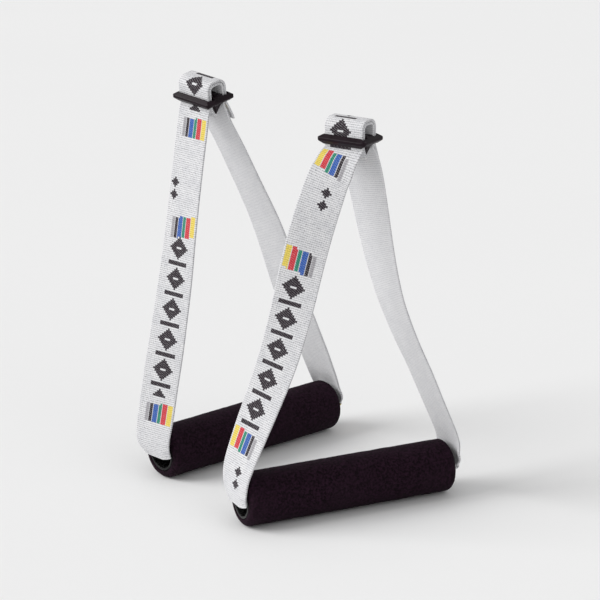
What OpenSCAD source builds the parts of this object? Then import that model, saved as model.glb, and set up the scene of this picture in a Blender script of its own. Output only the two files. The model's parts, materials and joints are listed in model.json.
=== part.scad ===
// A pair of exercise handles for an elastic resistance band. Each handle is a rigid tube in a
// foam sleeve, with one length of webbing that runs through the tube, rises in a triangle on
// both sides, and passes through a three-bar slide that leaves a small loop for the band.
// Units are millimetres and +Z is up. The origin is on the floor, in the middle of the pair.

/* [Grip] */
// Length of the foam sleeve
grip_len = 135.2; // [125:0.1:145]
// Outer diameter of the foam sleeve
foam_d = 32; // [30:0.5:40]
// Radius of the foam's rounded ends
foam_round = 3.6; // [1:0.1:4]
// Outer diameter of the rigid tube
tube_od = 22.2; // [22:0.1:23]
// Inner diameter of the rigid tube
tube_id = 19; // [18.8:0.1:20]

/* [Webbing] */
// Width of the webbing
webbing_w = 25.4; // [24:0.1:26]
// Thickness of the webbing
webbing_t = 1.5; // [1.2:0.1:1.6]
// Gap between two layers of webbing that lie together
layer_gap = 0.3; // [0.2:0.1:0.4]

/* [Slide] */
// Length of the slide along its bars
slide_len = 32; // [30:0.5:36]
// Depth of the slide across its bars
slide_depth = 22; // [21:0.5:25]
// Height of the slide's frame
slide_h = 6; // [5:0.5:6]
// Width of each slot
slot_w = 4.6; // [4.2:0.1:4.8]
// Distance of each slot from the middle of the slide
slot_at = 6; // [5.8:0.1:6.2]
// How far the centre bar's keel hangs below the frame
keel_h = 6; // [2:0.5:6]

/* [Band loop] */
// Height of the loop's top above the middle of the slide
loop_h = 12.5; // [11:0.5:16]

/* [Front handle] */
// Place of the front handle along X
front_x = 10.2; // [-20:0.1:40]
// Place of the front handle along Y
front_y = -61.1; // [-90:0.1:-55]
// Sideways place of the front slide over its grip
front_slide_x = 2.2; // [0:0.1:4]
// Height of the front slide's middle over the floor
front_slide_z = 224.3; // [222:0.1:227]
// Turn of the front slide about the vertical
front_slide_yaw = 32; // [28:1:36]

/* [Rear handle] */
// Place of the rear handle along X
rear_x = -5.9; // [-40:0.1:20]
// Place of the rear handle along Y
rear_y = 46.7; // [40:0.1:80]
// Turn of the rear handle about the vertical
rear_yaw = 15.7; // [0:0.1:20]
// Sideways place of the rear slide over its grip
rear_slide_x = -30.8; // [-33:0.1:-28]
// Height of the rear slide's middle over the floor
rear_slide_z = 233; // [231:0.1:235]
// Turn of the rear slide about the vertical
rear_slide_yaw = 4; // [0:1:8]
// Sideways lean of the rear slide
rear_slide_roll = -10; // [-12:1:-6]
// Lean of the rear slide along its bars
rear_slide_pitch = 4; // [0:1:5]

/* [Hidden] */
$fn = 64;

front = 0;
rear = 1;
grip_r = foam_d / 2;
half_grip = grip_len / 2;
sleeve_clearance = 0.1;
tube_recess = 0.3;

// Each handle's place and turn on the floor
stands = [
    [front_x, front_y, 0],
    [rear_x, rear_y, rear_yaw]
];

// Each slide's middle over its own grip, and its three turns
slide_mids = [
    [front_slide_x, 0, front_slide_z],
    [rear_slide_x, 0, rear_slide_z]
];
slide_turns = [
    [0, 0, front_slide_yaw],
    [rear_slide_pitch, rear_slide_roll, rear_slide_yaw]
];

// Middle lines of the layers in a slot, measured from the middle of the slide
layer_step = webbing_t + layer_gap;
outer_layer_at = slot_at + layer_step / 2;
inner_layer_at = slot_at - layer_step / 2;
// The layers run straight down to this level under the slide
slot_exit = -slide_h / 2 - 0.6;
loop_corner_r = 5.6;
tube_run_half = half_grip - 17.6;
tube_run_z = 14.6;
tube_run_curl = 158;
flat_half = 5.5;
margin_steps = 3;
route_steps = 2;
rings_in_line = 4;

// The webbing keeps its folded section from its run in the tube to this far inside the mouth
mouth_inset = 0.4;
// Upward lean of the route where it unfolds at each mouth, left and right
fold_leans = [50, 20];

// The legs' routes, from that ring to the slide. Each row holds the distance beyond the foam's
// end, the offset along Y, the height, the twist in degrees, and the curl of the margins.
front_left_route = [
    [3, 0, 15, 0, 40], [3.8, 0, 18.6, 3, 26], [3.7, 0, 24, 7, 14],
    [2.7, 0, 31, 11, 4], [-0.1, 0, 40, 16, 0], [-8.3, 0, 60, 24, 0], [-17, 0, 80, 30, 0],
    [-24.6, -0.5, 100, 37, 0], [-32, -1, 125, 44, 0], [-38.3, -1.2, 150, 51, 0],
    [-45.3, -1.5, 175, 54, 0], [-53.8, -2.4, 200, 45, 0], [-56.8, -3.2, 207, 41, 0],
    [-59.9, -3.8, 214, 36, 0]
];
front_right_route = [
    [4, 0, 15.5, 0, 84], [4.6, 0, 21.5, 2, 38], [3.6, 0, 26, 4, 38],
    [2.2, 0, 31.5, 5, 14], [-1.2, 0, 40, 6.5, 0], [-10, 0, 60, 7.5, 0], [-18.7, 0, 80, 8.5, 0],
    [-27.9, 0.8, 100, 10, 0], [-37.9, 1, 125, 12.5, 0], [-44.9, 1, 150, 18, 0],
    [-50.3, 1, 175, 25, 0], [-55.1, 1.6, 200, 31, 0], [-58, 2.6, 212, 32, 0],
    [-60.1, 2.9, 217, 32, 0]
];
rear_left_route = [
    [3.4, 0, 15, 2, 40], [5, 0, 18.6, 7, 26], [5.9, 0, 24, 12, 14],
    [5.2, 0, 31, 16, 4], [3.1, 0, 40, 19, 0], [-0.8, 0, 60, 20, 0], [-5.1, 0, 80, 19.5, 0],
    [-9.2, 0, 100, 16, 0], [-13.9, 0, 125, 12.5, 0], [-17.9, 0, 150, 8, 0],
    [-21.8, 0, 175, 6, 0], [-25.8, 0, 200, 6, 0], [-28.4, 0, 215, 6, 0], [-29.6, -0.3, 224, 5, 0]
];
rear_right_route = [
    [3.9, 0, 15.5, 0, 84], [4.3, 0, 21.5, 1, 34], [3.4, 0.5, 26, 2, 36],
    [1.4, 1, 31.5, 4, 40], [-3.8, 0.6, 40, 5.5, 12], [-13.6, 0, 60, 8, 0], [-23.1, 0, 80, 11, 0],
    [-32.1, 0, 100, 12, 0], [-41.3, 0, 125, 11, 0], [-51.8, 0, 150, 8, 0],
    [-64.7, 0, 175, 5, 0], [-78, 0, 200, 4, 0], [-87.7, 0.2, 217, 4, 0], [-91.2, 0.3, 225, 4, 0]
];
routes = [
    [front_left_route, front_right_route],
    [rear_left_route, rear_right_route]
];

// The slide's cross-sections: full height to the shoulders, then thin lips all round
lip_top = 0.9;
lip_bottom = -0.3;
side_shoulder = slide_depth / 2 - 2.5;
end_shoulder = slide_len / 2 - 3.6;
slide_corner_r = 2.5;
slot_len = webbing_w + 1.2;
keel_root = 2.6;
keel_tip = 0.4;
keel_end_taper = 2.2;

function unit(v) = v / norm(v);

// A point turned about X, then Y, then Z
function turned(a, p) =
    [[cos(a.z), -sin(a.z), 0], [sin(a.z), cos(a.z), 0], [0, 0, 1]]
    * [[cos(a.y), 0, sin(a.y)], [0, 1, 0], [-sin(a.y), 0, cos(a.y)]]
    * [[1, 0, 0], [0, cos(a.x), -sin(a.x)], [0, sin(a.x), cos(a.x)]] * p;

// A point of a slide's own frame, in the frame of its handle
function on_slide(h, p) = slide_mids[h] + turned(slide_turns[h], p);

// One leg's stations in the frame of its handle, ending in the slot. side is -1 or 1.
function stations(h, side, slot_u) = concat(
    [for (r = routes[h][side < 0 ? 0 : 1]) [side * (half_grip + r[0]), r[1], r[2], r[3], r[4]]],
    [for (v = [slot_exit - 1.2, slot_exit])
        concat(on_slide(h, [slot_u, 0, v]), [slide_turns[h].z, 0])]
);

// A smooth curve through stations p, with k steps from each one to the next
function blend(a, b, c, d, t) = 0.5 * (2 * b + (c - a) * t + (2 * a - 5 * b + 4 * c - d) * t * t
    + (3 * b - a - 3 * c + d) * t * t * t);
function smooth(p, k) = let (n = len(p), e = concat([2 * p[0] - p[1]], p, [2 * p[n - 1] - p[n - 2]]))
    concat(
        [for (i = [0:n - 2]) for (j = [0:k - 1]) blend(e[i], e[i + 1], e[i + 2], e[i + 3], j / k)],
        [p[n - 1]]
    );
function place(s) = [s[0], s[1], s[2]];

// The webbing's cross-section as [along the width, towards the inner face]. Its middle is flat
// and its margins are curled by the given angle towards the inner face. The outer face is first.
function margin(curl, lift) = let (
    angle = max(curl, 0.2), rho = (webbing_w / 2 - flat_half) / (angle * PI / 180)
) [for (i = [0:margin_steps]) let (a = angle * i / margin_steps)
    [flat_half + (rho - lift) * sin(a), rho - (rho - lift) * cos(a)]];
function mirrored(p) = [for (i = [len(p) - 1:-1:0]) [-p[i].x, p[i].y]];
function section(curl) = let (
    outer = margin(curl, -webbing_t / 2), inner = margin(curl, webbing_t / 2)
) concat(mirrored(outer), outer, [for (i = [margin_steps:-1:0]) inner[i]],
    [for (q = inner) [-q.x, q.y]]);

// The section set at point p of a route that runs along t, with its width along w
function set_across(p, t, w, inward, curl) = let (n = inward * unit(cross(t, w)))
    [for (q = section(curl)) p + q[0] * w + q[1] * n];

function upright_ring(side, x) =
    set_across([side * x, 0, tube_run_z], [side, 0, 0], [0, 1, 0], side, tube_run_curl);

// Ring i of a leg's smooth route s. The first leans as the fold does. Towards the slide the
// rings turn into line with its bars, and the last is square to it.
function leg_ring(h, s, i, side) = let (
    last = len(s) - 1,
    lean = fold_leans[side < 0 ? 0 : 1],
    t = i == 0 ? [side * cos(lean), 0, sin(lean)]
        : i == last ? turned(slide_turns[h], [0, 0, 1])
        : unit(place(s[i + 1]) - place(s[i - 1])),
    w0 = unit([0, 1, 0] - t.y * t),
    free = min(1, max(0, (last - i - 2) / rings_in_line)),
    w = unit(free * (cos(s[i][3]) * w0 + sin(s[i][3]) * cross(t, w0))
        + (1 - free) * turned(slide_turns[h], [0, 1, 0]))
) set_across(place(s[i]), t, w, side, s[i][4]);

// A closed sweep of rings that all have m points, in pairs across the thickness
module sweep(rings, flip) {
    m = len(rings[0]);
    last = (len(rings) - 1) * m;
    sides = [for (i = [0:len(rings) - 2]) for (j = [0:m - 1])
        let (a = i * m + j, b = i * m + (j + 1) % m)
        each [[a, b, b + m], [a, b + m, a + m]]];
    caps = [for (j = [0:m / 2 - 2]) let (b = m - 1 - j)
        each [
            [j, b, j + 1], [j + 1, b, b - 1],
            [last + j, last + j + 1, last + b], [last + j + 1, last + b - 1, last + b]
        ]];
    faces = concat(sides, caps);
    polyhedron(
        points = [for (r = rings) each r],
        faces = flip ? faces : [for (f = faces) [f[2], f[1], f[0]]]
    );
}

module on_stand(h) {
    translate([stands[h].x, stands[h].y, 0]) rotate([0, 0, stands[h].z]) children();
}

module on_slide_frame(h) {
    on_stand(h) translate(slide_mids[h]) rotate(slide_turns[h]) children();
}

// Extrudes a shape drawn across the slide's bars over a length along the bars
module along_bars(length) {
    rotate([90, 0, 0]) linear_extrude(length, center = true) children();
}

// Extrudes a shape drawn along the slide's bars over a length across them
module across_bars(length) {
    rotate([90, 0, 90]) linear_extrude(length, center = true) children();
}

module foam_sleeve(h) {
    bore_r = tube_od / 2 + sleeve_clearance;
    wall = grip_r - bore_r;
    color([0.1, 0.07, 0.09])
        on_stand(h) translate([0, 0, grip_r]) rotate([0, 90, 0]) rotate_extrude() intersection() {
            union() {
                translate([0, -half_grip]) square([grip_r - foam_round, grip_len]);
                translate([0, foam_round - half_grip]) square([grip_r, grip_len - 2 * foam_round]);
                for (end = [-1, 1])
                    translate([grip_r - foam_round, end * (half_grip - foam_round)])
                        circle(foam_round);
            }
            translate([bore_r, -half_grip]) square([wall, grip_len]);
        }
}

module grip_tube(h) {
    length = grip_len - 2 * tube_recess;
    color([0.04, 0.04, 0.04])
        on_stand(h) translate([0, 0, grip_r]) rotate([0, 90, 0]) difference() {
            cylinder(d = tube_od, h = length, center = true);
            cylinder(d = tube_id, h = length + 2, center = true);
        }
}

// The stretch of webbing inside the tube, curled to fit the bore
module webbing_tube_run(h) {
    color([0.86, 0.86, 0.87])
        on_stand(h) translate([0, 0, tube_run_z]) rotate([90, 0, 90])
            linear_extrude(2 * tube_run_half, center = true) polygon(section(tube_run_curl));
}

// One rising leg of the webbing, from the tube to the slide
module webbing_leg(h, side, slot_u) {
    route = smooth(stations(h, side, slot_u), route_steps);
    rings = concat(
        [for (x = [tube_run_half, half_grip - mouth_inset]) upright_ring(side, x)],
        [for (i = [0:len(route) - 1]) leg_ring(h, route, i, side)]
    );
    color([0.88, 0.88, 0.89]) on_stand(h) sweep(rings, side < 0);
}

// Outline of a loop's outer face, with straight sides and round shoulders
module loop_outline(half, top, r) {
    translate([-half, slot_exit]) square([2 * half, top - r - slot_exit]);
    translate([r - half, 0]) square([2 * (half - r), top]);
    for (s = [-1, 1])
        translate([s * (half - r), top - r]) circle(r);
}

module loop_layer(mid, top, r) {
    half = mid + webbing_t / 2;
    difference() {
        loop_outline(half, top, r);
        loop_outline(half - webbing_t, top - webbing_t, r - webbing_t);
        translate([-half + webbing_t, slot_exit - 1]) square([2 * (half - webbing_t), 2]);
    }
}

// A tail's outline, from its middle line
module tail_outline(line) {
    polygon(concat(
        [for (p = line) [p.x - webbing_t / 2, p.y]],
        [for (i = [len(line) - 1:-1:0]) [line[i].x + webbing_t / 2, line[i].y]]
    ));
}

// The left leg's layer: over the top, down the right slot, and out as a tail
module webbing_outer_loop(h) {
    tail = [[outer_layer_at, slot_exit], [8.1, -6], [9.3, -9], [10.6, -12], [11.8, -15.5]];
    color([0.9, 0.9, 0.9])
        on_slide_frame(h) along_bars(webbing_w) {
            loop_layer(outer_layer_at, loop_h, loop_corner_r);
            tail_outline(tail);
        }
}

// The right leg's layer: under the outer one, down the left slot, and out as a tail
module webbing_inner_loop(h) {
    tail = [[-inner_layer_at, slot_exit], [-4.4, -5.5], [-2.4, -9.8]];
    color([0.8, 0.8, 0.82])
        on_slide_frame(h) along_bars(webbing_w) {
            loop_layer(inner_layer_at, loop_h - layer_step, loop_corner_r - layer_step);
            tail_outline(tail);
        }
}

// The slide's plan outline, with round corners
module slide_plan() {
    for (a = [0, 1])
        square([slide_len - 2 * slide_corner_r * a, slide_depth - 2 * slide_corner_r * (1 - a)],
            center = true);
    for (x = [-1, 1])
        for (y = [-1, 1])
            translate([x * (slide_len / 2 - slide_corner_r), y * (slide_depth / 2 - slide_corner_r)])
                circle(slide_corner_r);
}

// A frame section with thin lips, from its half width and its shoulder
function lipped(half, shoulder) = let (half_h = slide_h / 2) [
    [-half, lip_bottom], [-shoulder, -half_h], [shoulder, -half_h], [half, lip_bottom],
    [half, lip_top], [shoulder, half_h], [-shoulder, half_h], [-half, lip_top]
];

// The three-bar slide, with a keel under its centre bar
module slide(h) {
    half_h = slide_h / 2;
    keel_bottom = -half_h - keel_h;
    keel_profile = [
        [-keel_root, 0], [keel_root, 0], [keel_root, -half_h],
        [keel_tip, keel_bottom], [-keel_tip, keel_bottom], [-keel_root, -half_h]
    ];
    keel_side = [
        [-end_shoulder, 0], [end_shoulder, 0], [end_shoulder, -half_h],
        [end_shoulder - keel_end_taper, keel_bottom], [keel_end_taper - end_shoulder, keel_bottom],
        [-end_shoulder, -half_h]
    ];
    color([0.06, 0.05, 0.06])
        on_slide_frame(h) {
            difference() {
                intersection() {
                    along_bars(slide_len) polygon(lipped(slide_depth / 2, side_shoulder));
                    across_bars(slide_depth) polygon(lipped(slide_len / 2, end_shoulder));
                    rotate([0, 0, 90]) linear_extrude(slide_h, center = true) slide_plan();
                }
                for (s = [-1, 1])
                    translate([s * slot_at, 0, 0])
                        cube([slot_w, slot_len, slide_h + 2], center = true);
            }
            intersection() {
                along_bars(slide_len) polygon(keel_profile);
                across_bars(slide_depth) polygon(keel_side);
            }
        }
}

foam_sleeve(front);  // front_foam_sleeve
grip_tube(front);  // front_grip_tube
webbing_tube_run(front);  // front_webbing_tube_run
webbing_leg(front, -1, -outer_layer_at);  // front_webbing_left_leg
webbing_leg(front, 1, inner_layer_at);  // front_webbing_right_leg
webbing_outer_loop(front);  // front_webbing_outer_loop
webbing_inner_loop(front);  // front_webbing_inner_loop
slide(front);  // front_slide
foam_sleeve(rear);  // rear_foam_sleeve
grip_tube(rear);  // rear_grip_tube
webbing_tube_run(rear);  // rear_webbing_tube_run
webbing_leg(rear, -1, -outer_layer_at);  // rear_webbing_left_leg
webbing_leg(rear, 1, inner_layer_at);  // rear_webbing_right_leg
webbing_outer_loop(rear);  // rear_webbing_outer_loop
webbing_inner_loop(rear);  // rear_webbing_inner_loop
slide(rear);  // rear_slide
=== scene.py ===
"""Looks for a pair of exercise handles: woven webbing, foam grips, moulded tubes and slides.

Shapes follow the CAD model: the routes and sizes repeated here are in millimetres, and each
handle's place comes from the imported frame.
"""

import json
import math

import bpy
import numpy as np
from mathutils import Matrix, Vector, noise


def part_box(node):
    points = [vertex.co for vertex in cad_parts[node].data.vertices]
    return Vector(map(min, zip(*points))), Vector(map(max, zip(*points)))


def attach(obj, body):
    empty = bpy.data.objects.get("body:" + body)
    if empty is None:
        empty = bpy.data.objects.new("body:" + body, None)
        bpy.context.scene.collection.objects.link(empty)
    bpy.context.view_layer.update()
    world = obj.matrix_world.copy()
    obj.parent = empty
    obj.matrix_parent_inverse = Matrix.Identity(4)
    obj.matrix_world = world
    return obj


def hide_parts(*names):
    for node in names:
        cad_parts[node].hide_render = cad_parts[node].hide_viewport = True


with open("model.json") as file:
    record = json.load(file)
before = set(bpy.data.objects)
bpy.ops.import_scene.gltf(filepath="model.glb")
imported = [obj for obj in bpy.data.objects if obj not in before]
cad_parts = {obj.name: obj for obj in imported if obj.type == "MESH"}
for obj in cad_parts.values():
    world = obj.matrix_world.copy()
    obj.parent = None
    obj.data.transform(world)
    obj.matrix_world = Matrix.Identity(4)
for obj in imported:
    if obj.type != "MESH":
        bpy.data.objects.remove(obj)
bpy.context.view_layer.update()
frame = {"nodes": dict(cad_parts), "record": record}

MM = 0.001
HANDLES = ("front", "rear")

# Sizes that the CAD model is built to
WEB_W = 25.4
WEB_T = 1.5
FOAM_ROUND = 3.6
TUBE_OD = 22.2
TUBE_ID = 19.0
SLEEVE_CLEARANCE = 0.1
TUBE_RECESS = 0.3
SLOT_EXIT = -3.6
LOOP_H = 12.5
LOOP_CORNER_R = 5.6
OUTER_LAYER = 6.9
INNER_LAYER = 5.1
LAYER_STEP = 1.8
TUBE_RUN_INSET = 17.6
TUBE_RUN_Z = 14.6
TUBE_RUN_CURL = 158
MOUTH_INSET = 0.4
FLAT_HALF = 5.5
# Rings: inside each mouth, along the run, between two rows of a route, and in line with the
# slide. The last two rows lie this far below the slot and at it.
MOUTH_RINGS = 6
RUN_RINGS = 5
ROUTE_STEPS = 2
RINGS_IN_LINE = 4
SLOT_RUN_UP = 1.2
# The loops: steps up each side, across the top and along the tail, and degrees a corner step
LOOP_SIDE_STEPS = 8
LOOP_TOP_STEPS = 5
TAIL_STEPS = 12
LOOP_CORNER_STEP = 7.5
# The least curl in degrees, so that a flat margin still has a radius
LEAST_CURL = 0.2
# How far the webbing leans back from the grip's axis as it leaves each mouth, in degrees. A
# handle's sides are -1 for the left and 1 for the right.
FOLD_LEANS = {-1: 50, 1: 20}

# Each slide's middle over its own grip, and its turns about X, Y and Z in degrees
SLIDE_MIDS = {"front": (2.2, 0, 224.3), "rear": (-30.8, 0, 233)}
SLIDE_TURNS = {"front": (0, 0, 32), "rear": (4, -10, 4)}

# The legs: beyond the foam's end, offset along Y, height, twist and curl in degrees
ROUTES = {
    ("front", -1): [
        (3, 0, 15, 0, 40), (3.8, 0, 18.6, 3, 26), (3.7, 0, 24, 7, 14),
        (2.7, 0, 31, 11, 4), (-0.1, 0, 40, 16, 0), (-8.3, 0, 60, 24, 0), (-17, 0, 80, 30, 0),
        (-24.6, -0.5, 100, 37, 0), (-32, -1, 125, 44, 0), (-38.3, -1.2, 150, 51, 0),
        (-45.3, -1.5, 175, 54, 0), (-53.8, -2.4, 200, 45, 0), (-56.8, -3.2, 207, 41, 0),
        (-59.9, -3.8, 214, 36, 0),
    ],
    ("front", 1): [
        (4, 0, 15.5, 0, 84), (4.6, 0, 21.5, 2, 38), (3.6, 0, 26, 4, 38),
        (2.2, 0, 31.5, 5, 14), (-1.2, 0, 40, 6.5, 0), (-10, 0, 60, 7.5, 0), (-18.7, 0, 80, 8.5, 0),
        (-27.9, 0.8, 100, 10, 0), (-37.9, 1, 125, 12.5, 0), (-44.9, 1, 150, 18, 0),
        (-50.3, 1, 175, 25, 0), (-55.1, 1.6, 200, 31, 0), (-58, 2.6, 212, 32, 0),
        (-60.1, 2.9, 217, 32, 0),
    ],
    ("rear", -1): [
        (3.4, 0, 15, 2, 40), (5, 0, 18.6, 7, 26), (5.9, 0, 24, 12, 14),
        (5.2, 0, 31, 16, 4), (3.1, 0, 40, 19, 0), (-0.8, 0, 60, 20, 0), (-5.1, 0, 80, 19.5, 0),
        (-9.2, 0, 100, 16, 0), (-13.9, 0, 125, 12.5, 0), (-17.9, 0, 150, 8, 0),
        (-21.8, 0, 175, 6, 0), (-25.8, 0, 200, 6, 0), (-28.4, 0, 215, 6, 0),
        (-29.6, -0.3, 224, 5, 0),
    ],
    ("rear", 1): [
        (3.9, 0, 15.5, 0, 84), (4.3, 0, 21.5, 1, 34), (3.4, 0.5, 26, 2, 36),
        (1.4, 1, 31.5, 4, 40), (-3.8, 0.6, 40, 5.5, 12), (-13.6, 0, 60, 8, 0),
        (-23.1, 0, 80, 11, 0), (-32.1, 0, 100, 12, 0), (-41.3, 0, 125, 11, 0),
        (-51.8, 0, 150, 8, 0),
        (-64.7, 0, 175, 5, 0), (-78, 0, 200, 4, 0), (-87.7, 0.2, 217, 4, 0),
        (-91.2, 0.3, 225, 4, 0),
    ],
}

# The two layers' tails, from the slide's slots: distance from the slide's middle, and height
OUTER_TAIL = [(OUTER_LAYER, SLOT_EXIT), (8.1, -6), (9.3, -9), (10.6, -12), (11.8, -15.5)]
INNER_TAIL = [(-INNER_LAYER, SLOT_EXIT), (-4.4, -5.5), (-2.4, -9.8)]

# The weave: one column and one row of yarn are each a cell, with this many mesh steps
COLUMNS = 20
CELL_C = WEB_W / COLUMNS
CELL_S = 1.25
CELL_STEPS = 3
# Height of the yarn over the ground, and the shares of it where a yarn lies under and over
RELIEF = 0.10
UNDER_SHARE = 0.72
OVER_EXTRA = 0.28

# The webbing's mesh: its half thickness without relief, the turns of its rounded edges in
# degrees, the least gap between two of its points, and the steps that measure its length
HALF_T = 0.66
EDGE_TURNS = (0, 35, 65, 90)
LEAST_GAP = 0.15
LENGTH_STEPS = 24
# The scalloped margins: how wide each one is and how far the yarn draws in
SCALLOP_BAND = 0.8
SCALLOP = 0.1
# A cut end: how far the yarn is melted together, its bead, its taper and its last step
SEAL_LENGTH = 1.4
SEAL_BEAD = 0.1
SEAL_TAPER = 0.55
SEAL_STEP = 0.12

# Distance down the handle's strap of each left leg's lower end, as the trim is measured
TUBE_AT = 240.0

# The woven trim along each handle's strap. start is where a band of motifs begins, and period
# is how far on the next one does. lead is how far before start a repeat begins. band, blocks
# and mark are the ends of the motifs, the colour blocks and the small motif, measured from
# start. The columns are the middles of the band and the small motif, and mirrored says which
# edge the blocks run from.
TRIM = {
    "front": {"start": 80, "period": 170, "lead": 20, "band": (0, 93),
              "blocks": ((-16.5, -3.5), (94.5, 107)), "mark": (116, 130),
              "band_col": 8.5, "mark_col": 11, "mirrored": False},
    "rear": {"start": 81.5, "period": 175, "lead": 60, "band": (0, 98),
             "blocks": ((-14, -1.5), (101.5, 114.5)), "mark": (-35, -21),
             "band_col": 10.5, "mark_col": 3, "mirrored": True},
}
YARNS = {
    "y": (0.80, 0.62, 0.10), "r": (0.62, 0.035, 0.05), "g": (0.012, 0.24, 0.15),
    "b": (0.03, 0.11, 0.42), "k": (0.020, 0.012, 0.018), "s": (0.36, 0.35, 0.37),
}
# The colours of a block's columns, and how many cells later each column starts and ends
BLOCK = " yyyrrrggbbbkkss"
BLOCK_STEP = 0.14
# The width of plain yarn along each edge
PLAIN_EDGE = 0.6
# A motif: one row of cells a line, repeated along the band
MOTIF = (
    "     #     ",
    "    ###    ",
    "   #####   ",
    "  #######  ",
    " ######### ",
    "####...####",
    " ######### ",
    "  #######  ",
    "   #####   ",
    "    ###    ",
    "     #     ",
    "           ",
    "###########",
    "###########",
    "           ",
)
# Half widths of the small motif's rows, where -1 is a gap
MARK = (0, 1, 2, 1, 0, -1, 0, 1, 2, 1, 0)

# The grips: rounds of the sleeve's and the tube's bore edges, steps round and along, and the
# foam's noise as pairs of cell size and height
EDGE_STEPS = 4
SHOULDER_STEPS = 10
FOAM_EDGE_R = 0.5
FOAM_SEGMENTS = 180
FOAM_STEPS = 150
FOAM_BORE_STEPS = 24
FOAM_LUMPS = ((9.0, 0.16), (2.2, 0.09), (0.9, 0.07))
TUBE_EDGE_R = 0.4
TUBE_SEGMENTS = 128
TUBE_STEPS = 30
# How far into the noise the foam lies
LUMP_SHIFT = 31

# The slides: the cells that round their edges, and how far the rounding goes
SLIDE_VOXEL = 0.26
SLIDE_SMOOTHING = 0.5
SLIDE_PASSES = 6

# Linear colours of the undyed yarn, the painted shade in its gaps, and its melted ends
YARN_DULL = (0.68, 0.685, 0.70, 1)
YARN_PALE = (0.78, 0.78, 0.785, 1)
YARN_INNER = (0.80, 0.80, 0.81, 1)
YARN_FIBRE = (0.54, 0.54, 0.56, 1)
YARN_SPECK = (0.33, 0.325, 0.35, 1)
PAINTED_GAP_SHADE_DEEP = (0.13, 0.125, 0.145, 1)
PAINTED_GAP_SHADE_SHALLOW = (0.50, 0.495, 0.52, 1)
PAINTED_GAP_SHADE_INNER = (0.52, 0.515, 0.54, 1)
MELTED = (0.58, 0.56, 0.52, 1)
# The width of one strand inside a yarn, across and along the webbing
STRAND_C = 0.40
STRAND_S = 0.44
# Linear colours of the foam, the painted shade in its pores, and the scuffs on moulded plastic
FOAM_DARK = (0.0035, 0.0006, 0.0024, 1)
FOAM_LIGHT = (0.0205, 0.0066, 0.0160, 1)
FOAM_RUBBED = (0.024, 0.013, 0.020, 1)
FOAM_PAINTED_PORE_SHADE = (0.002, 0.0008, 0.0015, 1)
SCUFFED = (0.03, 0.024, 0.028, 1)

# The studio: half the floor's side in metres, and the sky's strength. Each light has the
# direction it comes from, its strength and its spread in degrees.
FLOOR_HALF = 14.0
SKY = 0.565
LIGHTS = {"key": ((-1.1, 0.35, 0.74), 2.3, 40), "fill": ((0.5, -1.3, 0.9), 0.25, 50)}
# The camera: its place from the front grip's middle in millimetres, its tilt and heading in
# degrees, and its lens
CAMERA_FROM = (-585.5, -1183.8, 548.6)
CAMERA_TILT = 72.36
CAMERA_HEADING = -25.17
CAMERA_LENS = 144.07
CAMERA_SENSOR = 36
CAMERA_REACH = 60


def unit(v):
    """Vectors at length 1."""
    v = np.asarray(v, float)
    return v / np.linalg.norm(v, axis=-1, keepdims=True)


def turn(about_x, about_y, about_z):
    """Rotation matrix for turns about X, then Y, then Z, in degrees."""
    a, b, c = np.radians([about_x, about_y, about_z])
    rx = [[1, 0, 0], [0, math.cos(a), -math.sin(a)], [0, math.sin(a), math.cos(a)]]
    ry = [[math.cos(b), 0, math.sin(b)], [0, 1, 0], [-math.sin(b), 0, math.cos(b)]]
    rz = [[math.cos(c), -math.sin(c), 0], [math.sin(c), math.cos(c), 0], [0, 0, 1]]
    return np.array(rz) @ np.array(ry) @ np.array(rx)


class Stand:
    """A handle's place and turn on the floor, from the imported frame, in millimetres."""

    def __init__(self, name):
        low, high = (np.array(c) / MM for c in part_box(name + "_foam_sleeve"))
        spin = next(j for j in frame["record"]["behaviour"]["joints"]
                    if j["name"] == name + "_grip_spin")
        self.name = name
        self.yaw = math.degrees(math.atan2(spin["axis"][1], spin["axis"][0]))
        self.origin = np.array([(low[0] + high[0]) / 2, (low[1] + high[1]) / 2, 0])
        self.rotation = turn(0, 0, self.yaw)
        self.radius = high[2] / 2
        # Half the sleeve's length, from the box round the turned sleeve and its round shoulders
        cos, sin = abs(math.cos(math.radians(self.yaw))), abs(math.sin(math.radians(self.yaw)))
        shoulders = 2 * (self.radius - FOAM_ROUND) * sin + 2 * FOAM_ROUND * (1 - cos)
        self.half = round((high[0] - low[0] - shoulders) / (2 * cos), 1)
        self.slide_turn = turn(*SLIDE_TURNS[name])

    def out(self, points):
        """Points of the handle's own frame, in the row frame."""
        return np.asarray(points) @ self.rotation.T + self.origin

    def on_slide(self, u, along, v):
        """A point in the slide's frame, in the handle's own frame."""
        return np.array(SLIDE_MIDS[self.name]) + self.slide_turn @ np.array([u, along, v], float)


def catmull(points, at):
    """Catmull-Rom curve through points, at these positions counted in points."""
    points = np.asarray(points, float)
    ends = np.concatenate([2 * points[:1] - points[1:2], points, 2 * points[-1:] - points[-2:-1]])
    i = np.clip(np.floor(at).astype(int), 0, len(points) - 2)
    t = (np.asarray(at) - i).reshape((-1,) + (1,) * (points.ndim - 1))
    a, b, c, d = (ends[i + k] for k in range(4))
    return 0.5 * (2 * b + (c - a) * t + (2 * a - 5 * b + 4 * c - d) * t ** 2
                  + (3 * b - a - 3 * c + d) * t ** 3)


# ---------------------------------------------------------------- webbing


def ring(p, t, w, inward, curl):
    """A cross-section: its middle, its width and inward directions, and its margins' radius."""
    margin = (WEB_W / 2 - FLAT_HALF) / math.radians(max(curl, LEAST_CURL))
    return np.array(p, float), np.array(w, float), inward * unit(np.cross(t, w)), margin


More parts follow.
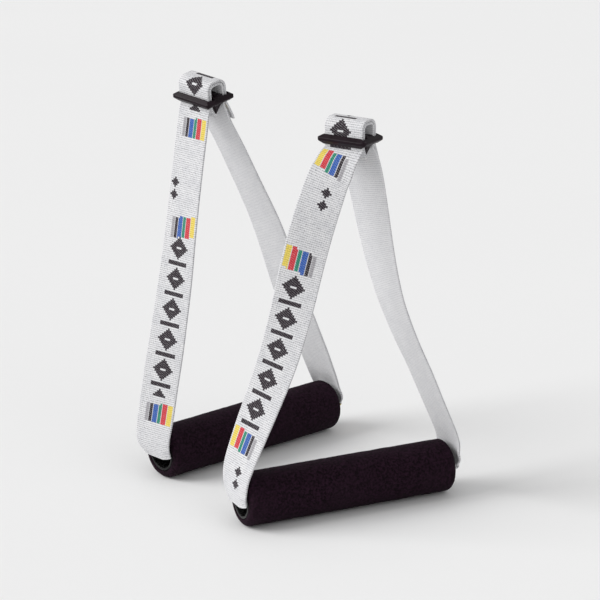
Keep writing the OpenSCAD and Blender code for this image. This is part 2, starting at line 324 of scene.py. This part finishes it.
def leg_rings(stand, side):
    """A leg, from inside the tube out of its mouth and up into the slide's slot."""
    name = stand.name
    rings = [ring((side * x, 0, TUBE_RUN_Z), (side, 0, 0), (0, 1, 0), side, TUBE_RUN_CURL)
             for x in np.linspace(stand.half - TUBE_RUN_INSET, stand.half - MOUTH_INSET,
                                  MOUTH_RINGS)]
    rows = [(side * (stand.half + r[0]),) + r[1:] for r in ROUTES[name, side]]
    slot_u = -OUTER_LAYER if side < 0 else INNER_LAYER
    for v in (SLOT_EXIT - SLOT_RUN_UP, SLOT_EXIT):
        rows.append((*stand.on_slide(slot_u, 0, v), SLIDE_TURNS[name][2], 0))
    steps = (len(rows) - 1) * ROUTE_STEPS
    route = catmull(rows, np.arange(steps + 1) / ROUTE_STEPS)
    along, up = stand.slide_turn @ [0, 1, 0], stand.slide_turn @ [0, 0, 1]
    lean = math.radians(FOLD_LEANS[side])
    for i, row in enumerate(route):
        if i == 0:
            t = np.array([side * math.cos(lean), 0, math.sin(lean)])
        elif i == steps:
            t = up
        else:
            t = unit(route[i + 1][:3] - route[i - 1][:3])
        w0 = unit(np.array([0, 1, 0]) - t[1] * t)
        twist = math.radians(row[3])
        free = min(1, max(0, (steps - i - 2) / RINGS_IN_LINE))
        w = unit(free * (math.cos(twist) * w0 + math.sin(twist) * np.cross(t, w0))
                 + (1 - free) * along)
        rings.append(ring(row[:3], t, w, side, row[4]))
    return rings


def loop_line(mid, top, corner, tail):
    """A layer's middle line over the slide and out along its tail, from -mid to +mid."""
    reach = top - corner
    arcs = np.radians(np.arange(0, 91, LOOP_CORNER_STEP))
    line = [(-mid, v) for v in np.linspace(SLOT_EXIT, reach, LOOP_SIDE_STEPS)[:-1]]
    line += [(-mid + corner * (1 - math.cos(a)), reach + corner * math.sin(a)) for a in arcs]
    line += [(u, top) for u in np.linspace(corner - mid, mid - corner, LOOP_TOP_STEPS)[1:-1]]
    line += [(mid - corner * (1 - math.sin(a)), reach + corner * math.cos(a)) for a in arcs]
    line += [(mid, v) for v in np.linspace(reach, SLOT_EXIT, LOOP_SIDE_STEPS)[1:-1]]
    line += [tuple(p) for p in catmull(tail, np.linspace(0, len(tail) - 1, TAIL_STEPS))]
    return np.array(line)


def loop_rings(stand, side):
    """The layer that starts where the leg on this side ends."""
    mid = OUTER_LAYER if side < 0 else INNER_LAYER
    step = 0 if side < 0 else LAYER_STEP
    tail = np.array(OUTER_TAIL if side < 0 else INNER_TAIL, float) * (-side, 1)
    line = loop_line(mid, LOOP_H - step - WEB_T / 2, LOOP_CORNER_R - step - WEB_T / 2, tail)
    line[:, 0] *= -side
    ahead = unit(np.gradient(line, axis=0))
    ahead[0] = (0, 1)
    along = stand.slide_turn @ [0, 1, 0]
    return [ring(stand.on_slide(u, 0, v), stand.slide_turn @ [du, 0, dv], along, side, 0)
            for (u, v), (du, dv) in zip(line, ahead)]


def run_rings(stand):
    """The webbing between the two legs, inside the tube."""
    half = stand.half - TUBE_RUN_INSET
    return [ring((x, 0, TUBE_RUN_Z), (1, 0, 0), (0, 1, 0), 1, TUBE_RUN_CURL)
            for x in np.linspace(-half, half, RUN_RINGS)]


def columns():
    """Places across the width, and how much of the full thickness each one has."""
    edge = [(WEB_W / 2 - HALF_T * (1 - math.sin(a)), math.cos(a)) for a in np.radians(EDGE_TURNS)]
    step = CELL_C / CELL_STEPS
    reach = COLUMNS * CELL_STEPS
    inner = [k * step for k in range(-reach, reach + 1)
             if abs(k * step) < edge[0][0] - LEAST_GAP]
    c = [-e[0] for e in reversed(edge)] + inner + [e[0] for e in edge]
    full = [e[1] for e in reversed(edge)] + [1] * len(inner) + [e[1] for e in edge]
    return np.array(c), np.array(full)


def woven_relief(s, c, full, over):
    """Height of the yarn over the ground: a pillow in each cell, higher where it lies over."""
    row, col = s / CELL_S, (c + WEB_W / 2) / CELL_C
    pillow = np.sqrt(np.abs(np.sin(np.pi * row) * np.sin(np.pi * col)))
    parity = (np.floor(row + 1e-6) + np.floor(col + 1e-6) + over) % 2
    return RELIEF * pillow * (UNDER_SHARE + OVER_EXTRA * parity) * full


def trim_colour(name, s, c):
    """The dyed yarn of the outer face at these cells, as RGBA. Alpha 0 is the plain ground."""
    trim = TRIM[name]
    colour = np.zeros(s.shape + (4,))
    row = (np.floor(s / CELL_S) + 0.5) * CELL_S
    col = np.floor((WEB_W / 2 - c) / CELL_C).astype(int)
    d = (row - trim["start"] + trim["lead"]) % trim["period"] - trim["lead"]

    def paint(where, rgb):
        colour[where] = (*rgb, 1)

    low, high = trim["band"]
    line = np.floor((d - low) / CELL_S).astype(int)
    place = col - round(trim["band_col"] - len(MOTIF[0]) / 2)
    in_band = (d >= low) & (d < high) & (place >= 0) & (place < len(MOTIF[0]))
    drawn = np.array([[mark == "#" for mark in motif_row] for motif_row in MOTIF])
    paint(in_band & drawn[line % len(MOTIF), np.clip(place, 0, len(MOTIF[0]) - 1)], YARNS["k"])

    low, high = trim["mark"]
    line = np.floor((d - low) / CELL_S).astype(int)
    from_mid = np.abs(col - trim["mark_col"])
    for i, half in enumerate(MARK):
        paint((d >= low) & (d < high) & (line == i) & (from_mid <= half), YARNS["k"])

    # A third of a column is left plain between two colours of a block
    third = np.floor((WEB_W / 2 - c) / CELL_C * CELL_STEPS).astype(int) % CELL_STEPS
    for low, high in trim["blocks"]:
        for place, yarn in enumerate(BLOCK):
            if yarn != " ":
                here = col == (COLUMNS - 1 - place if trim["mirrored"] else place)
                if BLOCK[place + 1:place + 2] != yarn:
                    here = here & (third != (0 if trim["mirrored"] else CELL_STEPS - 1))
                late = BLOCK_STEP * place * CELL_S
                paint((d >= low + late) & (d < high + late) & here, YARNS[yarn])
    return colour


def seal_amount(s, end, sealed):
    """How much the yarn is melted together, up to 1 at a cut and sealed end."""
    if not sealed:
        return np.zeros_like(s)
    return np.clip(1 - (end - s) / SEAL_LENGTH, 0, 1) ** 2


def sweep(rings, c):
    """The webbing's middle and its inward direction, at each ring and each place across."""
    mid = np.zeros((len(rings), len(c), 3))
    inwards = np.zeros_like(mid)
    flat = np.clip(c, -FLAT_HALF, FLAT_HALF)[:, None]
    for i, (p, w, n, rho) in enumerate(rings):
        a = (c[:, None] - flat) / rho
        mid[i] = p + (flat + rho * np.sin(a)) * w + rho * (1 - np.cos(a)) * n
        inwards[i] = np.cos(a) * n - np.sin(a) * w
    return mid, inwards


def cell_marks(mid, start, way, sealed):
    """Distances a third of a cell apart, in step with the cells of the whole strap. Returns
    them, their positions counted in rings, and the whole length."""
    fine = np.linspace(0, len(mid) - 1, (len(mid) - 1) * LENGTH_STEPS + 1)
    centre = catmull(mid[:, mid.shape[1] // 2], fine)
    lengths = np.r_[0, np.cumsum(np.linalg.norm(np.diff(centre, axis=0), axis=1))]
    total = lengths[-1]
    step = CELL_S / CELL_STEPS
    ends = sorted((start, start + way * total))
    marks = np.arange(math.ceil(ends[0] / step), math.floor(ends[1] / step) + 1) * step
    local = np.sort(np.abs(marks - start))
    clear = (local > LEAST_GAP) & (local < total - LEAST_GAP)
    local = np.concatenate([[0], local[clear], [total]])
    if sealed:
        local = np.sort(np.concatenate([local, [total - SEAL_STEP]]))
    return local, np.interp(local, lengths, fine), total


def woven_loops(mid, inwards, s, c, full, seal):
    """Points round each ring: across the outer face, then back across the inner face."""
    edge = np.sign(c) * (np.abs(c) > WEB_W / 2 - SCALLOP_BAND)
    scallop = SCALLOP * edge * np.abs(np.sin(np.pi * s / CELL_S)) * (1 - seal)
    across = unit(np.gradient(mid, axis=1))
    mid = mid + (scallop - SCALLOP * edge)[..., None] * across
    body = HALF_T * full * (1 + SEAL_BEAD * seal * (1 - seal)) * (1 - SEAL_TAPER * seal ** 6)
    outer = body + woven_relief(s, c, full, 0) * (1 - seal)
    inner = body + woven_relief(s, c, full, 1) * (1 - seal)
    top = mid - outer[..., None] * inwards
    under = mid + inner[..., None] * inwards
    return np.concatenate([top, under[:, -2:0:-1]], axis=1)


def loop_faces(n_rings, around, m):
    """Four-sided faces along the rings, then the faces of both ends. The outer face has m of
    the points round a ring."""
    order = np.arange(around)
    nxt = (order + 1) % around
    base = np.arange(n_rings - 1)[:, None] * around
    quads = np.stack([base + order, base + nxt, base + around + nxt, base + around + order], -1)
    under_of = np.concatenate([[0], np.arange(around - 1, m - 1, -1), [m - 1]])
    a, b = np.arange(m - 1), np.arange(1, m)
    cap = np.stack([a, under_of[a], under_of[b], b], -1)
    last = (n_rings - 1) * around
    caps = [[int(v) for v in dict.fromkeys(q)] for q in cap]
    caps += [[last + int(v) for v in reversed(list(dict.fromkeys(q)))] for q in cap]
    return quads.reshape(-1, 4).tolist(), caps


def store(data, field, values):
    data.data.foreach_set(field, values.astype(np.float32).ravel())


def webbing(stand, node, rings, start, way, sealed=False):
    """A length of woven webbing through these rings. start is the distance of the first ring
    along the handle's whole strap, and way is 1 or -1 as that distance rises or falls. Returns
    its length."""
    c, full = columns()
    mid, inwards = sweep(rings, c)
    local, at, total = cell_marks(mid, start, way, sealed)
    mid, inwards = catmull(mid, at), unit(catmull(inwards, at))
    s = start + way * local[:, None]
    seal = seal_amount(local, total, sealed)[:, None]
    loops = woven_loops(mid, inwards, s, c, full, seal)
    m, (n_rings, around) = len(c), loops.shape[:2]
    quads, caps = loop_faces(n_rings, around, m)
    mesh = bpy.data.meshes.new(node + "_woven")
    mesh.from_pydata((stand.out(loops.reshape(-1, 3)) * MM).tolist(), [], quads + caps)
    mesh.update()

    # Where each point lies in the weave, for the material: distance, place across and face
    side = np.concatenate([np.zeros(m), np.ones(m - 2)])
    c_round = np.concatenate([c, c[-2:0:-1]])
    weave = np.stack(np.broadcast_arrays(s, c_round[None, :], side[None, :]), -1)
    store(mesh.attributes.new("weave", "FLOAT_VECTOR", "POINT"), "vector", weave)
    store(mesh.attributes.new("seal", "FLOAT", "POINT"), "value", np.repeat(seal, around))

    # One colour a face, from the cell that it lies in
    s_mid = ((s[1:] + s[:-1]) / 2).repeat(around, axis=1)
    c_mid = ((c_round + np.roll(c_round, -1)) / 2)[None].repeat(n_rings - 1, axis=0)
    colour = trim_colour(stand.name, s_mid, c_mid)
    colour[:, m - 1:, 3] = 0
    colour[..., 3] *= (np.abs(c_mid) < WEB_W / 2 - PLAIN_EDGE)
    corners = np.concatenate([colour.reshape(-1, 4).repeat(4, axis=0),
                              np.zeros((sum(len(f) for f in caps), 4))])
    store(mesh.color_attributes.new("yarn", "FLOAT_COLOR", "CORNER"), "color", corners)
    add_piece(mesh, materials["webbing"], stand.name + "_strap", node)
    return total


# ---------------------------------------------------------------- grip, tube and slide


def add_piece(mesh, material, body, node):
    """Makes a mesh the piece that stands for a CAD node."""
    fix_winding(mesh)
    mesh.materials.append(material)
    for face in mesh.polygons:
        face.use_smooth = True
    piece = bpy.data.objects.new(mesh.name, mesh)
    bpy.context.scene.collection.objects.link(piece)
    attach(piece, body)
    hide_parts(node)
    return piece


def fix_winding(mesh):
    """Turns a closed mesh right side out."""
    points = np.empty(len(mesh.vertices) * 3)
    mesh.vertices.foreach_get("co", points)
    points = points.reshape(-1, 3)
    mesh.calc_loop_triangles()
    corners = np.empty(len(mesh.loop_triangles) * 3, np.int32)
    mesh.loop_triangles.foreach_get("vertices", corners)
    a, b, c = (points[corners.reshape(-1, 3)[:, i]] for i in range(3))
    if np.einsum("ij,ij->", a, np.cross(b, c)) < 0:
        mesh.flip_normals()


def lathe(stand, name, profile, segments, lumps=()):
    """Turns a closed profile of (along, radius) about the grip's axis. lumps are pairs of
    (cell size, height) of noise that raises the surface."""
    profile = np.array(profile, float)
    ahead = np.roll(profile, -1, axis=0) - np.roll(profile, 1, axis=0)
    outward = unit(np.stack([-ahead[:, 1], ahead[:, 0]], -1))
    n = len(profile)
    verts = []
    for k in range(segments):
        angle = 2 * math.pi * k / segments
        cos, sin = math.cos(angle), math.sin(angle)
        for (x, r), (nx, nr) in zip(profile, outward):
            lift = 0
            for size, height in lumps:
                at = Vector((x / size + LUMP_SHIFT, r * cos / size, r * sin / size))
                lift += height * (noise.noise(at) - 0.5)
            x1, r1 = x + nx * lift, r + nr * lift
            verts.append((x1, r1 * cos, stand.radius + r1 * sin))
    faces = [(k * n + i, k * n + (i + 1) % n, (k + 1) % segments * n + (i + 1) % n,
              (k + 1) % segments * n + i) for k in range(segments) for i in range(n)]
    mesh = bpy.data.meshes.new(name)
    mesh.from_pydata((stand.out(verts) * MM).tolist(), [], faces)
    mesh.update()
    return mesh


def arc(x, r, radius, first, last, steps):
    """A round of an outline about (x, r), between two turns in degrees."""
    return [(x + radius * math.sin(a), r + radius * math.cos(a))
            for a in np.radians(np.linspace(first, last, steps))]


def foam_profile(stand):
    """The sleeve's outline, round from one bore edge over the outside to the other."""
    bore = TUBE_OD / 2 + SLEEVE_CLEARANCE
    half, shoulder, edge = stand.half, stand.radius - FOAM_ROUND, FOAM_EDGE_R
    line = arc(edge - half, bore + edge, edge, 180, 270, EDGE_STEPS)
    line += [(-half, r) for r in np.linspace(bore + edge, shoulder, 3)[1:-1]]
    line += arc(FOAM_ROUND - half, shoulder, FOAM_ROUND, -90, 0, SHOULDER_STEPS)
    line += [(x, stand.radius)
             for x in np.linspace(FOAM_ROUND - half, half - FOAM_ROUND, FOAM_STEPS)[1:-1]]
    line += arc(half - FOAM_ROUND, shoulder, FOAM_ROUND, 0, 90, SHOULDER_STEPS)
    line += [(half, r) for r in np.linspace(shoulder, bore + edge, 3)[1:-1]]
    line += arc(half - edge, bore + edge, edge, 90, 180, EDGE_STEPS)
    line += [(x, bore) for x in np.linspace(half - edge, edge - half, FOAM_BORE_STEPS)[1:-1]]
    return line


def tube_profile(stand):
    """The tube's outline, with a small round on each lip."""
    half, r_out, r_in, edge = stand.half - TUBE_RECESS, TUBE_OD / 2, TUBE_ID / 2, TUBE_EDGE_R
    line = arc(edge - half, r_in + edge, edge, 180, 270, EDGE_STEPS)
    line += arc(edge - half, r_out - edge, edge, -90, 0, EDGE_STEPS)
    line += [(x, r_out) for x in np.linspace(edge - half, half - edge, TUBE_STEPS)[1:-1]]
    line += arc(half - edge, r_out - edge, edge, 0, 90, EDGE_STEPS)
    line += arc(half - edge, r_in + edge, edge, 90, 180, EDGE_STEPS)
    line += [(x, r_in) for x in np.linspace(half - edge, edge - half, TUBE_STEPS)[1:-1]]
    return line


def slide_mesh(name):
    """The slide's own shape with its edges softened, as they leave a mould."""
    source = bpy.data.objects.new("slide_source", frame["nodes"][name].data.copy())
    bpy.context.scene.collection.objects.link(source)
    remesh = source.modifiers.new("remesh", "REMESH")
    remesh.mode = "VOXEL"
    remesh.voxel_size = SLIDE_VOXEL * MM
    soften = source.modifiers.new("soften", "SMOOTH")
    soften.factor = SLIDE_SMOOTHING
    soften.iterations = SLIDE_PASSES
    bpy.context.view_layer.update()
    shaped = source.evaluated_get(bpy.context.evaluated_depsgraph_get())
    mesh = bpy.data.meshes.new_from_object(shaped)
    mesh.name = name + "_moulded"
    mesh.materials.clear()
    bpy.data.objects.remove(source)
    return mesh


# ---------------------------------------------------------------- materials


class Shader:
    """A material whose nodes are added in a line of code each."""

    def __init__(self, name):
        self.material = bpy.data.materials.new(name)
        self.material.use_nodes = True
        self.tree = self.material.node_tree
        self.surface = self.tree.nodes["Principled BSDF"]

    def put(self, socket, value):
        """Links a socket's value, or sets a plain one."""
        if isinstance(value, bpy.types.NodeSocket):
            self.tree.links.new(value, socket)
        else:
            socket.default_value = value

    def add(self, kind, *values, **settings):
        """A node with its first inputs, where None leaves one as it is, and its settings."""
        node = self.tree.nodes.new("ShaderNode" + kind)
        for name, value in settings.items():
            setattr(node, name, value)
        for socket, value in zip(node.inputs, values):
            if value is not None:
                self.put(socket, value)
        return node

    def math(self, operation, *values):
        return self.add("Math", *values, operation=operation).outputs[0]

    def remap(self, value, low, high, to_low=0.0, to_high=1.0):
        return self.add("MapRange", value, low, high, to_low, to_high).outputs[0]

    def mix(self, factor, a, b):
        node = self.add("Mix", data_type="RGBA")
        for socket, value in zip((node.inputs[0], node.inputs[6], node.inputs[7]), (factor, a, b)):
            self.put(socket, value)
        return node.outputs[2]

    def noise(self, vector, scale, detail=2.0, roughness=0.5):
        """Noise from 0 to 1. scale is cells a metre on a place, or a millimetre on the weave."""
        node = self.add("TexNoise", vector)
        self.put(node.inputs["Scale"], scale)
        self.put(node.inputs["Detail"], detail)
        self.put(node.inputs["Roughness"], roughness)
        return node.outputs[0]

    def set(self, **values):
        """Inputs of the surface, by name with underscores for spaces."""
        for name, value in values.items():
            self.put(self.surface.inputs[name.replace("_", " ")], value)

    def bump(self, height, strength, distance):
        node = self.add("Bump")
        self.put(node.inputs["Strength"], strength)
        self.put(node.inputs["Distance"], distance)
        self.put(node.inputs["Height"], height)
        self.put(self.surface.inputs["Normal"], node.outputs[0])


def weave_cells(sh, weave, s, c, side):
    """How open each cell of the weave is, the strands inside its yarn, and its row and column.
    The rows drift a little, as in real webbing."""
    drift = sh.noise(weave, 0.9, 2.0)
    row = sh.math("ADD", sh.math("DIVIDE", s, CELL_S), sh.remap(drift, 0.3, 0.7, -0.16, 0.16))
    col = sh.math("DIVIDE", sh.math("ADD", c, WEB_W / 2), CELL_C)
    hump_s = sh.math("ABSOLUTE", sh.math("SINE", sh.math("MULTIPLY", row, math.pi)))
    hump_c = sh.math("ABSOLUTE", sh.math("SINE", sh.math("MULTIPLY", col, math.pi)))
    cell = sh.math("MULTIPLY", hump_s, sh.remap(hump_c, 0.0, 0.45, 0.30, 1.0))
    open_cell = sh.remap(cell, 0.0, sh.remap(side, 0.0, 1.0, 0.62, 0.52))
    over = sh.math("MODULO", sh.math("ADD", sh.math("FLOOR", row), sh.math("FLOOR", col)), 2.0)
    over = sh.math("ABSOLUTE", over)
    strands_c = sh.math("SINE", sh.math("MULTIPLY", c, 2 * math.pi / STRAND_C))
    strands_s = sh.math("SINE", sh.math("MULTIPLY", s, 2 * math.pi / STRAND_S))
    strands = sh.add("Mix", over, None, strands_c, strands_s).outputs[0]
    return open_cell, strands, row, col


def plain_yarn_and_painted_gap_shade(sh, weave, side, fibre, open_cell):
    """The undyed yarn: blotched and specked, paler on the inner face, over painted gap shade."""
    blotch = sh.noise(weave, 0.16, 3.0)
    tone = sh.mix(sh.remap(blotch, 0.35, 0.65), YARN_DULL, YARN_PALE)
    tone = sh.mix(sh.remap(fibre, 0.3, 0.75, 0.0, 0.35), tone, YARN_FIBRE)
    speck = sh.remap(sh.noise(weave, 1.15, 2.0, 0.6), 0.55, 0.72, 0.0, 0.45)
    speck = sh.math("MULTIPLY", speck, sh.remap(side, 0.0, 1.0, 1.0, 0.4))
    tone = sh.mix(speck, tone, YARN_SPECK)
    tone = sh.mix(sh.math("MULTIPLY", side, 0.5), tone, YARN_INNER)
    # Painted shade in the gaps between cells: deeper in places, lighter on the inner face
    painted_shade_depth = sh.remap(sh.noise(weave, 0.75, 3.0, 0.7), 0.38, 0.62)
    painted_gap_shade = sh.mix(side, sh.mix(painted_shade_depth, PAINTED_GAP_SHADE_DEEP, PAINTED_GAP_SHADE_SHALLOW), PAINTED_GAP_SHADE_INNER)
    return sh.mix(open_cell, painted_gap_shade, tone)


def dyed_yarn_and_painted_gap_shade(sh, row, col, fibre, open_cell):
    """How much of the dyed yarn shows, in slanted strokes, and its colour with painted gap shade.
    """
    yarn = sh.add("Attribute", attribute_name="yarn")
    slant = sh.math("ADD", row, sh.math("MULTIPLY", col, 0.5))
    stroke = sh.math("ABSOLUTE", sh.math("SINE", sh.math("MULTIPLY", slant, math.pi)))
    dyed = sh.math("MULTIPLY", yarn.outputs["Alpha"], sh.remap(stroke, 0.0, 0.34, 0.5, 1.0))
    dyed = sh.math("MULTIPLY", dyed, sh.remap(fibre, 0.5, 0.85, 1.0, 0.95))
    # The dye is darkened towards the gaps between cells: painted shade
    dye_with_painted_gap_shade = sh.add("VectorMath", yarn.outputs["Color"], None, operation="SCALE")
    sh.put(dye_with_painted_gap_shade.inputs["Scale"], sh.remap(open_cell, 0.0, 1.0, 0.6, 1.0))
    return dyed, dye_with_painted_gap_shade.outputs[0]


def webbing_material():
    """Polyester yarn in a plain weave, with painted shade between the cells and dyed trim."""
    sh = Shader("woven_webbing")
    weave = sh.add("Attribute", attribute_name="weave").outputs["Vector"]
    s, c, side = sh.add("SeparateXYZ", weave).outputs
    fibre = sh.noise(weave, 3.4, 3.0, 0.65)
    open_cell, strands, row, col = weave_cells(sh, weave, s, c, side)
    dyed, dye_with_painted_gap_shade = dyed_yarn_and_painted_gap_shade(sh, row, col, fibre, open_cell)
    colour = sh.mix(dyed, plain_yarn_and_painted_gap_shade(sh, weave, side, fibre, open_cell), dye_with_painted_gap_shade)
    seal = sh.add("Attribute", attribute_name="seal").outputs["Fac"]
    colour = sh.mix(sh.math("MULTIPLY", seal, 0.7), colour, MELTED)
    sh.set(Base_Color=colour, Roughness=sh.remap(seal, 0.2, 1.0, 0.82, 0.38),
           Sheen_Weight=0.06, Sheen_Roughness=0.45, Specular_IOR_Level=0.25)
    height = sh.math("ADD", sh.math("MULTIPLY", open_cell, 0.55),
                     sh.math("MULTIPLY", strands, 0.16))
    height = sh.math("ADD", height, sh.math("MULTIPLY", fibre, 0.35))
    sh.bump(height, 0.55, 0.10 * MM)
    return sh.material


def foam_material():
    """Closed-cell foam: matte, nearly black skin with painted shade in pores and pale rub marks.
    """
    sh = Shader("foam_skin")
    place = sh.add("TexCoord").outputs["Object"]
    pores = sh.add("TexVoronoi", place, feature="SMOOTH_F1")
    sh.put(pores.inputs["Scale"], 1500.0)
    fine = sh.noise(place, 2600.0, 3.0, 0.6)
    grain = sh.noise(place, 700.0, 4.0, 0.6)
    rubbed = sh.remap(sh.noise(place, 42.0, 5.0, 0.62), 0.48, 0.72)
    tone = sh.mix(sh.remap(grain, 0.38, 0.64), FOAM_DARK, FOAM_LIGHT)
    tone = sh.mix(sh.math("MULTIPLY", rubbed, 0.35), tone, FOAM_RUBBED)
    # Painted shade in the fine pores
    tone = sh.mix(sh.remap(pores.outputs["Distance"], 0.0, 0.35, 0.55, 0.0), tone, FOAM_PAINTED_PORE_SHADE)
    sh.set(Base_Color=tone, Roughness=sh.remap(rubbed, 0.0, 1.0, 0.78, 0.9),
           Specular_IOR_Level=0.09)
    height = sh.math("ADD", sh.math("MULTIPLY", pores.outputs["Distance"], 0.7),
                     sh.math("MULTIPLY", fine, 0.5))
    height = sh.math("ADD", height, sh.math("MULTIPLY", grain, 0.5))
    sh.bump(height, 0.5, 0.12 * MM)
    return sh.material


def moulded_material(name, low, high, rough, shine, streak):
    """Moulded black plastic: low and high are its tones, rough and shine its gloss, and streak
    is how much the fine grain is drawn out along each axis."""
    sh = Shader(name)
    place = sh.add("TexCoord").outputs["Object"]
    drawn = sh.add("VectorMath", place, streak, operation="MULTIPLY").outputs[0]
    grain = sh.noise(drawn, 1900.0, 4.0, 0.6)
    haze = sh.noise(place, 160.0, 3.0)
    scuff = sh.remap(sh.noise(drawn, 420.0, 5.0, 0.7), 0.55, 0.78)
    tone = sh.mix(sh.remap(haze, 0.35, 0.65), low, high)
    tone = sh.mix(sh.math("MULTIPLY", scuff, 0.25), tone, SCUFFED)
    gloss = sh.math("ADD", sh.remap(haze, 0.3, 0.7, rough - 0.05, rough + 0.06),
                    sh.math("MULTIPLY", scuff, 0.15))
    sh.set(Base_Color=tone, Roughness=gloss, Specular_IOR_Level=shine)
    sh.bump(sh.math("ADD", grain, sh.math("MULTIPLY", scuff, 0.6)), 0.22, 0.05 * MM)
    return sh.material


def floor_material():
    """A matte, pale studio floor."""
    sh = Shader("pale_floor")
    place = sh.add("TexCoord").outputs["Object"]
    mottle = sh.noise(place, 3.0, 2.0)
    sh.set(Base_Color=sh.mix(mottle, (0.845, 0.845, 0.845, 1), (0.86, 0.86, 0.86, 1)),
           Roughness=0.9, Specular_IOR_Level=0.1)
    return sh.material


# ---------------------------------------------------------------- stage, light and camera


def make_floor():
    corners = [(-1, -1), (1, -1), (1, 1), (-1, 1)]
    mesh = bpy.data.meshes.new("floor")
    mesh.from_pydata([(x * FLOOR_HALF, y * FLOOR_HALF, 0) for x, y in corners],
                     [], [(0, 1, 2, 3)])
    mesh.materials.append(floor_material())
    floor = bpy.data.objects.new("floor", mesh)
    bpy.context.scene.collection.objects.link(floor)


def make_lights():
    """An even white sky, a soft key light from the left and a weak fill from the front."""
    world = bpy.data.worlds.new("studio")
    bpy.context.scene.world = world
    world.use_nodes = True
    sky = world.node_tree.nodes["Background"]
    sky.inputs["Color"].default_value = (1.0, 1.0, 1.0, 1)
    sky.inputs["Strength"].default_value = SKY
    for name, (source, strength, spread) in LIGHTS.items():
        light = bpy.data.lights.new(name, "SUN")
        light.energy = strength
        light.angle = math.radians(spread)
        lamp = bpy.data.objects.new(name, light)
        lamp.rotation_euler = Vector(source).to_track_quat("Z", "Y").to_euler()
        bpy.context.scene.collection.objects.link(lamp)


def make_camera(stand):
    """The camera, placed from the middle of this handle's grip on the floor."""
    data = bpy.data.cameras.new("camera")
    data.lens = CAMERA_LENS
    data.sensor_width = CAMERA_SENSOR
    data.clip_end = CAMERA_REACH
    camera = bpy.data.objects.new("camera", data)
    camera.location = (stand.origin + np.array(CAMERA_FROM)) * MM
    camera.rotation_euler = (math.radians(CAMERA_TILT), 0, math.radians(CAMERA_HEADING))
    bpy.context.scene.collection.objects.link(camera)
    bpy.context.scene.camera = camera


def build(name):
    """One handle: the strap's five lengths, the grip and the slide."""
    stand = Stand(name)
    strap, grip, tube = name + "_webbing_", name + "_foam_sleeve", name + "_grip_tube"
    slide = name + "_slide"
    run = 2 * (stand.half - TUBE_RUN_INSET)
    left = webbing(stand, strap + "left_leg", leg_rings(stand, -1), TUBE_AT, -1)
    webbing(stand, strap + "tube_run", run_rings(stand), TUBE_AT, 1)
    right = webbing(stand, strap + "right_leg", leg_rings(stand, 1), TUBE_AT + run, 1)
    webbing(stand, strap + "outer_loop", loop_rings(stand, -1), TUBE_AT - left, -1, sealed=True)
    webbing(stand, strap + "inner_loop", loop_rings(stand, 1), TUBE_AT + run + right, 1,
            sealed=True)
    skin = lathe(stand, grip + "_skin", foam_profile(stand), FOAM_SEGMENTS, FOAM_LUMPS)
    foam = add_piece(skin, materials["foam"], name + "_grip", grip)
    add_piece(lathe(stand, tube + "_moulded", tube_profile(stand), TUBE_SEGMENTS),
              materials["tube"], name + "_grip", tube)
    add_piece(slide_mesh(slide), materials["slide"], name + "_slide", slide)
    return stand


materials = {
    "webbing": webbing_material(),
    "foam": foam_material(),
    "tube": moulded_material("tube_black", (0.003, 0.003, 0.003, 1), (0.006, 0.006, 0.006, 1),
                             0.25, 0.18, (0.12, 1.0, 1.0)),
    "slide": moulded_material("slide_black", (0.006, 0.002, 0.004, 1), (0.012, 0.005, 0.009, 1),
                              0.38, 0.13, (1.0, 1.0, 1.0)),
}

stands = [build(name) for name in HANDLES]
make_floor()
make_lights()
make_camera(stands[0])
bpy.context.scene.view_settings.view_transform = "Standard"
